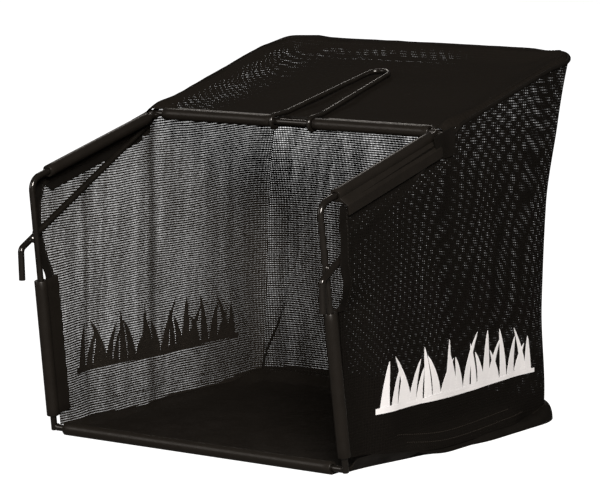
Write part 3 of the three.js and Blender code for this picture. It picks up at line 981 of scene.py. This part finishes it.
def floor_half_width(y):
    """Half width of the floor cloth, whose edge bulges past the walls and rounds the rear corners."""
    straight = mix(182, 198, smooth_step(20, 150, y)) + 19 * smooth_step(130, 250, y)
    if y <= FLOOR_CORNER:
        return straight
    share = min(1.0, (y - FLOOR_CORNER) / (FLOOR_BACK - FLOOR_CORNER))
    return 150 + 67 * math.sqrt(max(0.0, 1 - share**2.2))


def floor_top(x, y, half):
    """Height of the floor cloth's upper face: low inside, up at the wall's seam, rolled down outside."""
    sign = 1 if x > 0 else -1
    seam = floor_seam(y, sign)
    to_side = WALL_X - abs(x)
    to_back = back_y(12) - y
    low = 2.6 + 0.9 * wobble(x, y, 0, 60) + 0.5 * wobble(x, y, 5, 22)
    low += 5 * smooth_step(60, -10, x + 110) * smooth_step(330, 400, y)
    rise = max(smooth_step(24, 1, to_side), smooth_step(30, 2, to_back) * smooth_step(24, 60, y))
    height = mix(low, seam + 1.5, rise)
    narrowing = max(0.0, floor_half_width(y - 0.5) - floor_half_width(y + 0.5))
    rim = min(1.0, max(0.0, (half - abs(x)) / math.hypot(1, narrowing) / 9))
    rim = min(rim, max(0.0, (FLOOR_BACK - y) / 9))
    rolled = math.sqrt(rim * (2 - rim))
    return height * mix(1.0, rolled, smooth_step(80, 170, y)) + 0.3


def floor_cloth():
    """The floor: its upper face, its flat underside, and the rolled edge that joins them."""
    top = []
    under = []
    weave = []
    for r in range(FLOOR_ROWS + 1):
        v = r / FLOOR_ROWS
        y = mix(21.5, FLOOR_BACK, 1 - (1 - v) ** 1.7)
        ground_half = floor_half_width(y)
        for c in range(FLOOR_COLUMNS + 1):
            share = 2 * c / FLOOR_COLUMNS - 1
            sign = 1 if share > 0 else -1
            half = ground_half
            if y < FLOOR_CORNER:
                half = max(half, WALL_X + wall_out(y, floor_seam(y, sign), sign) + 0.8)
            x = half * math.copysign(1 - (1 - abs(share)) ** 1.5, share)
            top.append(Vector((x, y, floor_top(x, y, half))))
            under.append(Vector((x * ground_half / half, y, 0.05)))
            weave.append((x, y))
    shell = Shell()
    rows, columns = FLOOR_ROWS + 1, FLOOR_COLUMNS + 1
    shell.add(top, grid_faces(rows, columns), weave=weave)
    rim = grid_rim(rows, columns)
    count = len(rim)
    base = rows * columns
    shell.add([under[i] for i in rim], [list(range(count))], weave=[weave[i] for i in rim])
    sides = [[rim[k], rim[(k + 1) % count], base + (k + 1) % count, base + k] for k in range(count)]
    shell.faces += sides
    shell.slots += [0] * count
    cloth = shell.build("floor_cloth", [FLOOR, BINDING], sharp=60)
    for face in cloth.data.polygons:
        spot = in_mouth(face.center)
        outside = abs(spot.x) > WALL_X + 1.5 or spot.y > back_y(12) + 1.5
        face.material_index = 1 if outside else 0
    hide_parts("floor_panel", "floor_welt_left", "floor_welt_right", "floor_welt_back")


# ---------------------------------------------------------------- hems, tapes and stitches
def wall_line(*places):
    """Runs evenly along a line on a side wall, given as pairs of Y and Z."""
    return along_line([Vector((0, y, z)) for y, z in places])


def add_strip(shell, inner, outer, columns, thick, rows, lift, seed, ragged=0.0):
    """A flat band of doubled cloth between two lines. lift(y, z, off) gives a point of space that lies
    off millimetres outside the band's middle surface."""
    loops = []
    for side in (1, -1):
        points = []
        for r in range(rows + 1):
            a, b = inner(r / rows), outer(r / rows)
            for c in range(columns + 1):
                at = a.lerp(b, c / columns)
                fray = ragged * wobble(r * 3.1, c * 0.7, seed, 5, seed) * smooth_step(0.5, 1, c / columns)
                points.append(lift(at.y + fray, at.z, side * thick / 2))
        loops.append(points)
    rows, columns = rows + 1, columns + 1
    count = rows * columns
    faces = grid_faces(rows, columns)
    faces += [[count + i for i in face[::-1]] for face in grid_faces(rows, columns)]
    faces += rim_faces(grid_rim(rows, columns), count)
    weave = [(p.y + p.x, p.z) for p in loops[0]] * 2
    shell.add(loops[0] + loops[1], faces, weave=weave)


def add_stitches(shell, line, normal, pitch=4.4, length=2.9, radius=0.38):
    """A row of short raised threads along a line of points."""
    at = along_line(line)
    reach = sum((b - a).length for a, b in zip(line, line[1:]))
    for k in range(int(reach / pitch)):
        start = at((k * pitch + 0.5) / reach)
        end = at((k * pitch + 0.5 + length) / reach)
        rise = normal * radius * 0.6
        top = start.lerp(end, 0.5) + rise * 1.6
        add_tube(shell, [start, start.lerp(top, 0.5) + rise * 0.3, top, end], radius, 6, 0.05)


# outline of the roof's front hem, as distances up the roof and above it
ROOF_HEM = (
    (20.5, 0.3),
    (14, 0.4),
    (12, -0.3),
    (11.3, -2.5),
    (11.3, -9),
    (12.7, -9),
    (12.7, -2.5),
    (13.4, -1.7),
    (14.28, -1),
    (20.78, -1.1),
)


def mouth_hems(stitches):
    """The hem of each side wall's open front edge, and the wall's edge behind the slope sleeve's lip."""
    inner = wall_line(*HEM_IN)
    outer = wall_line(*HEM_OUT)
    low = SLOPE_SLEEVE[0] - SLOPE_LENGTH
    for word, sign in SIDES:

        def lift(y, z, off):
            return wall_point(y, z, sign, off)

        def lift_inside(y, z, off):
            return wall_point(y, z, sign, off - 1.4)

        shell = Shell()
        add_strip(shell, inner, outer, 5, 1.6, 50, lift, ragged=1.6, seed=sign)
        under_lip = along_line([on_slope(0, low + 12, -27), on_slope(0, -20, -26)])
        in_lip = along_line([on_slope(0, low + 3, -17), on_slope(0, -20, -17)])
        add_strip(shell, under_lip, in_lip, 4, 0.8, 60, lift_inside, seed=sign + 7)
        spots = [inner(k / 30) for k in range(31)]
        for side in (1, -1):
            line = [wall_point(spot.y - 2.5, spot.z, sign, side * 0.9) for spot in spots]
            add_stitches(stitches, line, Vector((sign * side, 0, 0)))
        hem = shell.build(f"mouth_binding_{word}", [BINDING], sharp=50)
        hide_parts(f"mouth_hem_{word}")


def roof_hem(stitches):
    """The folded hem of the roof's front edge, between the bail's eyes."""
    half = TOP_SLEEVE[0] - 0.6
    columns = 24
    points = []
    for c in range(columns + 1):
        x = mix(-half, half, c / columns)
        for along, above in ROOF_HEM:
            wave = 0.5 * wobble(x, along, above, 9, 4) * smooth_step(0, -9, above)
            points.append(on_slope(x, along + wave, above))
    n = len(ROOF_HEM)
    faces = grid_faces(columns + 1, n, closed=True)
    faces.append(list(range(n))[::-1])
    faces.append([columns * n + k for k in range(n)])
    shell = Shell()
    shell.add(points, faces, weave=[(p.x, p.y + p.z) for p in points])
    hem = shell.build("roof_front_binding", [BINDING], sharp=50)
    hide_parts("roof_hem")
    line = [on_slope(mix(-half + 2, half - 2, k / 20), 18.5, 0.35) for k in range(21)]
    add_stitches(stitches, line, Vector((0, 0, 1)))


def foot_stitches():
    """Two rows of paler thread along the foot of each side wall, each given as its height, start and end.
    """
    rows = Shell()
    for _, sign in SIDES:
        for height, start, end in ((9, 95, 330), (17, 80, 300)):
            line = []
            for k in range(41):
                y = mix(start, end, k / 40)
                z = floor_seam(y, sign) + height + 1.5 * math.sin(y / 40)
                line.append(wall_point(y, z, sign, 0.3))
            add_stitches(rows, line, Vector((sign, 0, 0)), 3.4, 1.7, 0.3)
    rows.build("foot_stitches", [PALE_THREAD])


def roof_seams():
    """The rolled seam round the roof's left, back and right edges, and the stitches beside it."""

    def rim_path(inset, lift, curl=0.0):
        centre = ROOF_REAR - ROOF_CORNER
        points = []
        for sign in (-1, 1):
            side = [(WALL_X - inset, mix(188, centre, k / 33)) for k in range(34)]
            for k in range(1, 10):
                turn = math.radians(90 * k / 10)
                reach = ROOF_CORNER - inset
                x = WALL_X - ROOF_CORNER + reach * math.cos(turn)
                side.append((x, centre + reach * math.sin(turn)))
            side += [(mix(WALL_X - ROOF_CORNER, 0, k / 11), ROOF_REAR - inset) for k in range(12)]
            line = []
            for x, y in side:
                z = roof_z(sign * x, y) + lift - curl * near_right_corner(sign * x, y)
                z += 0.5 * wobble(x, y, 0, 14, sign)
                line.append(Vector((sign * x, bowed_back(x, y), z)))
            points = points + line if sign < 0 else points[:-1] + line[::-1]
        return points

    shell = Shell()
    add_tube(shell, rim_path(0.4, -3.0, 3), 2.3, 12, 0.6)
    seam = shell.build("roof_seam", [BINDING])
    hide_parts("roof_tape_left", "roof_tape_right", "roof_tape_back")
    stitches = Shell()
    add_stitches(stitches, rim_path(8.5, 0.1), Vector((0, 0, 1)))
    stitches.build("roof_stitches", [THREAD])


def corner_patches():
    """The patch at each upper corner of the mouth, on the outside of the side wall."""
    for word, sign in SIDES:
        shell = Shell()
        raised = 3.5 if sign > 0 else 0  # the right patch stands up further out of the mouth
        top = wall_line((149, 330 + raised), (186, 340 + raised))
        foot = wall_line((157, 309), (184, 312))

        def lift(y, z, off):
            return wall_point(y, z, sign, 1.6 + off)

        def upright_line(share):
            return lambda t: foot(share).lerp(top(share), t)

        add_strip(shell, upright_line(0), upright_line(1), 6, 1.0, 14, lift, ragged=0.4, seed=sign + 3)
        patch = shell.build(f"corner_cloth_{word}", [BINDING], sharp=50)
        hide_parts(f"corner_patch_{word}")


# ---------------------------------------------------------------- print
def printed_blades():
    """The print: a row of grass blades on a strip of ground, on the outside of both side walls."""
    for word, sign in SIDES:
        shell = Shell()

        def add_shape(left_line, right_line, steps, lift):
            points = []
            weave = []
            for off in (0.95 + lift, 0.65 + lift):
                for k in range(steps + 1):
                    for line in (left_line, right_line):
                        y, z = line(k / steps)
                        points.append(wall_point(y, z, sign, off))
                        weave.append((y, z))
            count = 2 * (steps + 1)
            outside = grid_faces(steps + 1, 2)
            inside = [[count + i for i in face[::-1]] for face in outside]
            rim = [2 * k for k in range(steps + 1)] + [2 * k + 1 for k in range(steps, -1, -1)]
            shell.add(points, outside + rim_faces(rim, count), 0, weave)
            start = len(shell.points) - 2 * count
            shell.faces += [[start + i for i in face] for face in inside]
            shell.slots += [1] * len(inside)

        blades = 23
        for k in range(blades):
            share = (k + 0.5) / blades
            foot = mix(52, 345, share) + 3 * math.sin(7.3 * k)
            tall = 40 + 12 * math.sin(2.1 * k + 1) + 8 * math.sin(share * math.pi)
            lean = 17 * math.sin(1.7 * k) + 6 * math.cos(3.1 * k)
            wide = 13.5 + 2 * math.sin(4.7 * k)

            def edge_line(side):
                def line(t):
                    half = wide / 2 * (1 - t) ** 0.65 + 0.15
                    return foot + lean * t**1.8 + side * half, 60 + tall * t

                return line

            add_shape(edge_line(-1), edge_line(1), 9, 0.05 * (k % 3))

        def ground_low(t):
            return mix(46, 351, t), 57 + 0.8 * math.sin(9 * t)

        def ground_high(t):
            return mix(46, 351, t), 63 + 1.2 * math.sin(23 * t)

        add_shape(ground_low, ground_high, 60, 0.15)
        shell.build(f"blade_print_{word}", [INK, INK_BACK], sharp=30, fix_normals=False)


# ---------------------------------------------------------------- stage
CAMERA_PLACE = (1.8941, -2.6821, 0.6564)
CAMERA_AIM = (0.0287, -0.0487, 0.2009)
CAMERA_LENS = 181.57
LAMP_COLOUR = (1.0, 0.93, 0.86)
# each softbox: its name, place, what it points at, size in metres and power in watts
SOFTBOXES = (
    ("back_left", (-1.6, 1.7, 1.8), (0, 0, 0.2), (0.9, 0.22), 4),
    ("front_left", (-1.7, -2.3, 1.2), (0, 0, 0.2), (1.5, 1.5), 16),
    ("front_right", (2.2, -2.7, 1.9), (0.1, 0, 0.2), (1.2, 1.2), 215),
)


def looking_at(name, data, location, target):
    """Adds a camera or a lamp that points at target."""
    made = bpy.data.objects.new(name, data)
    made.location = location
    made.rotation_euler = (Vector(target) - Vector(location)).to_track_quat("-Z", "Y").to_euler()
    bpy.context.scene.collection.objects.link(made)
    return made


def stage():
    """White paper under the object, the camera, the softboxes and a surround that looks white to the
    camera alone and lights the object only weakly."""
    bpy.ops.mesh.primitive_plane_add(size=14, location=(0, 0, 0))
    ground = bpy.context.object
    ground.name = "studio_floor"
    paper = Graph("white_paper", (0.16, 0.155, 0.15), 0.9, 0.0)
    ray = paper.node("ShaderNodeLightPath")
    paper.shader.inputs["Emission Color"].default_value = (1, 1, 1, 1)
    glow = paper.math("MULTIPLY", ray.outputs["Is Camera Ray"], 1.1)
    paper.link(glow, paper.shader.inputs["Emission Strength"])
    ground.data.materials.append(paper.material)

    camera_data = bpy.data.cameras.new("camera")
    camera_data.sensor_width = 36
    camera_data.lens = CAMERA_LENS
    bpy.context.scene.camera = looking_at("camera", camera_data, CAMERA_PLACE, CAMERA_AIM)

    for name, location, target, size, power in SOFTBOXES:
        lamp = bpy.data.lights.new(name, "AREA")
        lamp.shape = "RECTANGLE"
        lamp.size, lamp.size_y = size
        lamp.energy = power
        lamp.color = LAMP_COLOUR
        looking_at(name, lamp, location, target)

    world = bpy.data.worlds.new("studio")
    bpy.context.scene.world = world
    world.use_nodes = True
    tree = world.node_tree
    seen = tree.nodes["Background"]
    seen.inputs["Color"].default_value = (1, 1, 1, 1)
    around = tree.nodes.new("ShaderNodeBackground")
    around.inputs["Color"].default_value = (*LAMP_COLOUR, 1)
    around.inputs["Strength"].default_value = 0.05
    ray = tree.nodes.new("ShaderNodeLightPath")
    choose = tree.nodes.new("ShaderNodeMixShader")
    tree.links.new(ray.outputs["Is Camera Ray"], choose.inputs["Fac"])
    tree.links.new(around.outputs["Background"], choose.inputs[1])
    tree.links.new(seen.outputs["Background"], choose.inputs[2])
    tree.links.new(choose.outputs["Shader"], tree.nodes["World Output"].inputs["Surface"])
    bpy.context.scene.view_settings.view_transform = "Standard"


stage()
wires()
bail()
sleeves()
for word, sign in SIDES:
    side_wall(word, sign)
back_wall()
rear_corner_seams()
roof()
roof_seams()
floor_cloth()
hem_rows = Shell()
mouth_hems(hem_rows)
roof_hem(hem_rows)
hem_rows.build("hem_stitches", [THREAD])
foot_stitches()
corner_patches()
printed_blades()
